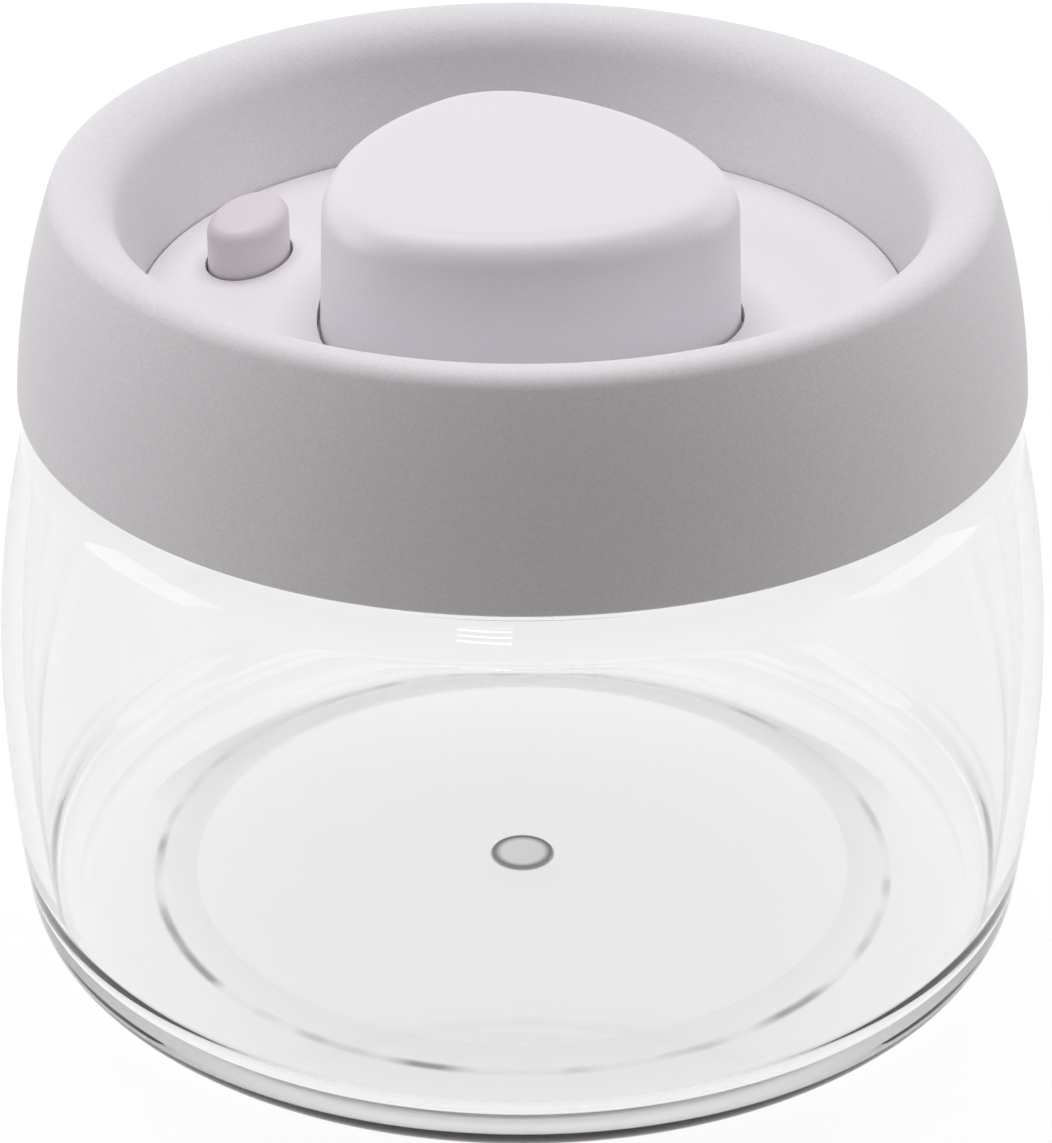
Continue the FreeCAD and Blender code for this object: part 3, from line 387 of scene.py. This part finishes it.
def clear_plastic():
    """Clear polished plastic, slowly wavy. Under the floor, the gate mark and the slope of the foot are
    frosted. Painted shade darkens the gate mark, most at its rim, and a broken line of painted shade runs
    along the middle of the slope, standing in for the dark edges that refraction shows there."""
    finish, nodes, links, shader, coordinate = new_finish("clear_plastic")
    add_bump(nodes, links, shader, grain(nodes, links, coordinate, WAVE_SIZE, 1.0), WAVE_DEPTH, WAVE_STRENGTH)
    reach = from_axis(nodes, links, coordinate)
    disc_r = FOOT_INNER_R - RECESS_SLOPE
    gate_end = GATE_R + SHADE_EDGE
    frost = by_radius(nodes, links, reach, (
        (0, GATE_ROUGH), (GATE_R, GATE_ROUGH), (gate_end, 0),
        (disc_r - SLOPE_FADE, 0), (disc_r, SLOPE_ROUGH), (FOOT_INNER_R, 0)))
    # Painted shade: darkens the gate mark inside and most at its rim, standing in for the dark edge that
    # refraction shows there
    gate = by_radius(nodes, links, reach, (
        (GATE_R - GATE_RING_IN, GATE_SHADE / 4), (GATE_R - GATE_RING, GATE_SHADE), (GATE_R, GATE_SHADE),
        (gate_end, 0)))
    # Painted shade: a dark line along the middle of the foot's slope, standing in for the dark dashes that
    # refraction shows there; noise breaks it into dashes below
    line_r = FOOT_INNER_R - RECESS_SLOPE / 2
    line = by_radius(nodes, links, reach, (
        (line_r - LINE_FADE, 0), (line_r - LINE_HALF, LINE_SHADE), (line_r + LINE_HALF, LINE_SHADE),
        (line_r + LINE_FADE, 0)))
    height = nodes.new("ShaderNodeSeparateXYZ")
    links.new(coordinate.outputs["Object"], height.inputs["Vector"])
    under = remap(nodes, links, height.outputs["Z"], (FOOT_RECESS + FLOOR_T / 2, FOOT_RECESS + FLOOR_T / 4))
    rough = calculate(nodes, links, "MULTIPLY_ADD", frost, under, CLEAR_ROUGH)
    links.new(rough, shader.inputs["Roughness"])
    lumps = grain(nodes, links, coordinate, LINE_LUMP, 1.0)
    uneven = remap(nodes, links, lumps, (0.45, 0.65), (0.12, 1))
    broken = calculate(nodes, links, "MULTIPLY", line, uneven)
    # The gate's and the line's painted shade are joined here and kept to the underside of the floor
    painted_shade = calculate(nodes, links, "MAXIMUM", broken, gate)
    edge = calculate(nodes, links, "MULTIPLY", painted_shade, under)
    # Mixes the clear plastic's own tint towards SHADE_COLOUR where the painted shade lies
    tint_and_painted_shade = nodes.new("ShaderNodeMix")
    tint_and_painted_shade.data_type = "RGBA"
    tint_and_painted_shade.inputs["A"].default_value = CLEAR_COLOUR
    tint_and_painted_shade.inputs["B"].default_value = SHADE_COLOUR
    links.new(edge, tint_and_painted_shade.inputs["Factor"])
    links.new(tint_and_painted_shade.outputs["Result"], shader.inputs["Base Color"])
    shader.inputs["Transmission Weight"].default_value = 1
    shader.inputs["IOR"].default_value = CLEAR_IOR
    return finish


def silicone():
    """Soft, slightly translucent silicone with a fine matt skin."""
    finish, nodes, links, shader, coordinate = new_finish("silicone")
    broad = grain(nodes, links, coordinate, 5 * MM)
    vary_colour(nodes, links, shader, broad, (0.78, 0.79, 0.8), 0.02)
    vary_roughness(nodes, links, shader, broad, 0.4, 0.52)
    add_bump(nodes, links, shader, grain(nodes, links, coordinate, 0.6 * MM), 0.01 * MM, 0.4)
    shader.inputs["Subsurface Weight"].default_value = 0.25
    shader.inputs["Subsurface Scale"].default_value = 1 * MM
    return finish


def steel():
    """Bright steel with fine drawn lines."""
    finish, nodes, links, shader, coordinate = new_finish("steel")
    drawn = grain(nodes, links, coordinate, 0.4 * MM, 2.0, (1, 1, 0.08))
    vary_colour(nodes, links, shader, drawn, (0.6, 0.6, 0.61), 0.05)
    vary_roughness(nodes, links, shader, drawn, 0.22, 0.36)
    add_bump(nodes, links, shader, drawn, 0.004 * MM, 0.4)
    shader.inputs["Metallic"].default_value = 1
    return finish


# Stage
def white_to_eye(nodes, links):
    """1 for rays that the camera, a reflection or a clear wall sees, and 0 for rays that only carry light."""
    path = nodes.new("ShaderNodeLightPath")
    seen = path.outputs["Is Camera Ray"]
    for kind in ("Is Glossy Ray", "Is Transmission Ray"):
        seen = calculate(nodes, links, "MAXIMUM", seen, path.outputs[kind])
    return seen


def add_world():
    """White to the eye, and a dim warm room to everything else."""
    world = bpy.data.worlds.new("studio")
    world.use_nodes = True
    bpy.context.scene.world = world
    nodes, links = world.node_tree.nodes, world.node_tree.links
    nodes.clear()
    white, room = nodes.new("ShaderNodeBackground"), nodes.new("ShaderNodeBackground")
    white.inputs["Color"].default_value = (1, 1, 1, 1)
    room.inputs["Color"].default_value = ROOM_COLOUR
    room.inputs["Strength"].default_value = ROOM_LIGHT
    mix, output = nodes.new("ShaderNodeMixShader"), nodes.new("ShaderNodeOutputWorld")
    links.new(white_to_eye(nodes, links), mix.inputs["Fac"])
    links.new(room.outputs[0], mix.inputs[1])
    links.new(white.outputs[0], mix.inputs[2])
    links.new(mix.outputs[0], output.inputs["Surface"])


def add_floor():
    """Pale floor that keeps a soft shadow near the object and turns into the white behind it further out."""
    mesh = bpy.data.meshes.new("floor")
    signs = ((-1, -1), (1, -1), (1, 1), (-1, 1))
    mesh.from_pydata([(x * FLOOR_HALF, y * FLOOR_HALF, FLOOR_Z) for x, y in signs], [], [(0, 1, 2, 3)])
    floor = bpy.data.objects.new("floor", mesh)
    bpy.context.scene.collection.objects.link(floor)
    paper = bpy.data.materials.new("paper")
    paper.use_nodes = True
    nodes, links = paper.node_tree.nodes, paper.node_tree.links
    nodes.clear()
    card, glow = nodes.new("ShaderNodeBsdfDiffuse"), nodes.new("ShaderNodeEmission")
    card.inputs["Color"].default_value = FLOOR_COLOUR
    glow.inputs["Strength"].default_value = FLOOR_SHINE
    place, away = nodes.new("ShaderNodeNewGeometry"), nodes.new("ShaderNodeVectorMath")
    away.operation = "LENGTH"
    links.new(place.outputs["Position"], away.inputs[0])
    fade = remap(nodes, links, away.outputs["Value"], (SHADOW_REACH / 3, SHADOW_REACH), (FLOOR_GLOW, 1))
    share = calculate(nodes, links, "MULTIPLY", white_to_eye(nodes, links), fade)
    mix, output = nodes.new("ShaderNodeMixShader"), nodes.new("ShaderNodeOutputMaterial")
    links.new(share, mix.inputs["Fac"])
    links.new(card.outputs[0], mix.inputs[1])
    links.new(glow.outputs[0], mix.inputs[2])
    links.new(mix.outputs[0], output.inputs["Surface"])
    mesh.materials.append(paper)


def from_camera(right, back, up):
    """Point at distances to the right of the object, behind it and above the floor, as the camera sees it."""
    c, s = math.cos(CAMERA_TURN), math.sin(CAMERA_TURN)
    return Vector((right * c - back * s, right * s + back * c, up))


def add_light(name, place, width, depth, watts):
    """Softbox at a place, turned to the lid."""
    data = bpy.data.lights.new(name, "AREA")
    data.shape = "RECTANGLE"
    data.size, data.size_y = width, depth
    data.energy = watts
    data.color = LIGHT_COLOUR
    light = bpy.data.objects.new(name, data)
    light.location = place
    aim = Vector((0, 0, DECK_Z)) - place
    light.rotation_euler = aim.to_track_quat("-Z", "Y").to_euler()
    light.visible_camera = False
    bpy.context.scene.collection.objects.link(light)


def add_lamp():
    """Lamp of thin tubes low on the camera's side, which the jar mirrors as streaks."""
    left, right = LAMP_RIGHT - TUBE_LENGTH / 2, LAMP_RIGHT + TUBE_LENGTH / 2
    verts, faces = [], []
    for i in range(TUBES):
        low = LAMP_Z + i * TUBE_PITCH
        start = len(verts)
        verts += [from_camera(x, LAMP_BACK, z) for z in (low, low + TUBE_WIDTH) for x in (left, right)]
        faces.append((start, start + 1, start + 3, start + 2))
    mesh = bpy.data.meshes.new("lamp")
    mesh.from_pydata(verts, [], faces)
    lamp = bpy.data.objects.new("lamp", mesh)
    bpy.context.scene.collection.objects.link(lamp)
    tubes = bpy.data.materials.new("tubes")
    tubes.use_nodes = True
    shader = tubes.node_tree.nodes["Principled BSDF"]
    shader.inputs["Emission Color"].default_value = (1, 1, 1, 1)
    shader.inputs["Emission Strength"].default_value = TUBE_SHINE
    mesh.materials.append(tubes)
    lamp.visible_camera = False


def add_camera():
    """Camera at the photograph's place, fitted to the rings of the lid and the outlines of the jar."""
    data = bpy.data.cameras.new("camera")
    data.sensor_width = SENSOR_MM
    data.lens = LENS_MM
    data.shift_x = LENS_SHIFT
    camera = bpy.data.objects.new("camera", data)
    camera.location = CAMERA_PLACE
    camera.rotation_euler = (CAMERA_TILT, 0, CAMERA_TURN)
    bpy.context.scene.collection.objects.link(camera)
    bpy.context.scene.camera = camera


# Build
jar = lathe("jar_skin", jar_profile(), "jar", "jar")
jar.visible_shadow = False
collar = lathe("lid_collar_skin", collar_profile(), "lid", "lid_collar", closed=True)

finishes = {
    "clear_plastic": clear_plastic(),
    "collar_plastic": moulded_plastic("collar_plastic", colour=(0.815, 0.795, 0.825), rough=0.6,
                                      texture=0.3 * MM, depth=0.05 * MM, spread=0.05),
    "deck_plastic": moulded_plastic("deck_plastic", colour=(0.85, 0.83, 0.86), rough=0.42,
                                    texture=0.4 * MM, depth=0.012 * MM, spread=0.02),
    "release_plastic": moulded_plastic("release_plastic", colour=(0.8, 0.73, 0.765), rough=0.4,
                                       texture=0.4 * MM, depth=0.012 * MM, spread=0.02),
    "inner_plastic": moulded_plastic("inner_plastic", colour=(0.76, 0.77, 0.78), rough=0.3,
                                     texture=1.2 * MM, depth=0.006 * MM, spread=0.015),
    "silicone": silicone(),
    "steel": steel(),
}
slots = {part["node"]: part["material_slot"] for part in frame["record"]["subparts"]}
for name, node in frame["nodes"].items():
    node.data.materials.clear()
    node.data.materials.append(finishes[slots[name]])
jar.data.materials.append(finishes["clear_plastic"])
collar.data.materials.append(finishes["collar_plastic"])
add_spring("pump_spring")
add_spring("release_spring")

add_world()
add_floor()
add_lamp()
add_light("overhead", from_camera(0, 0.26, 1.25), width=1.1, depth=0.8, watts=11.5)
add_light("left", from_camera(-1.1, 0.05, 0.4), width=0.7, depth=0.7, watts=4.6)
add_light("right", from_camera(1.1, 0.2, 0.4), width=0.7, depth=0.7, watts=3.6)
add_camera()
bpy.context.scene.view_settings.view_transform = "Standard"
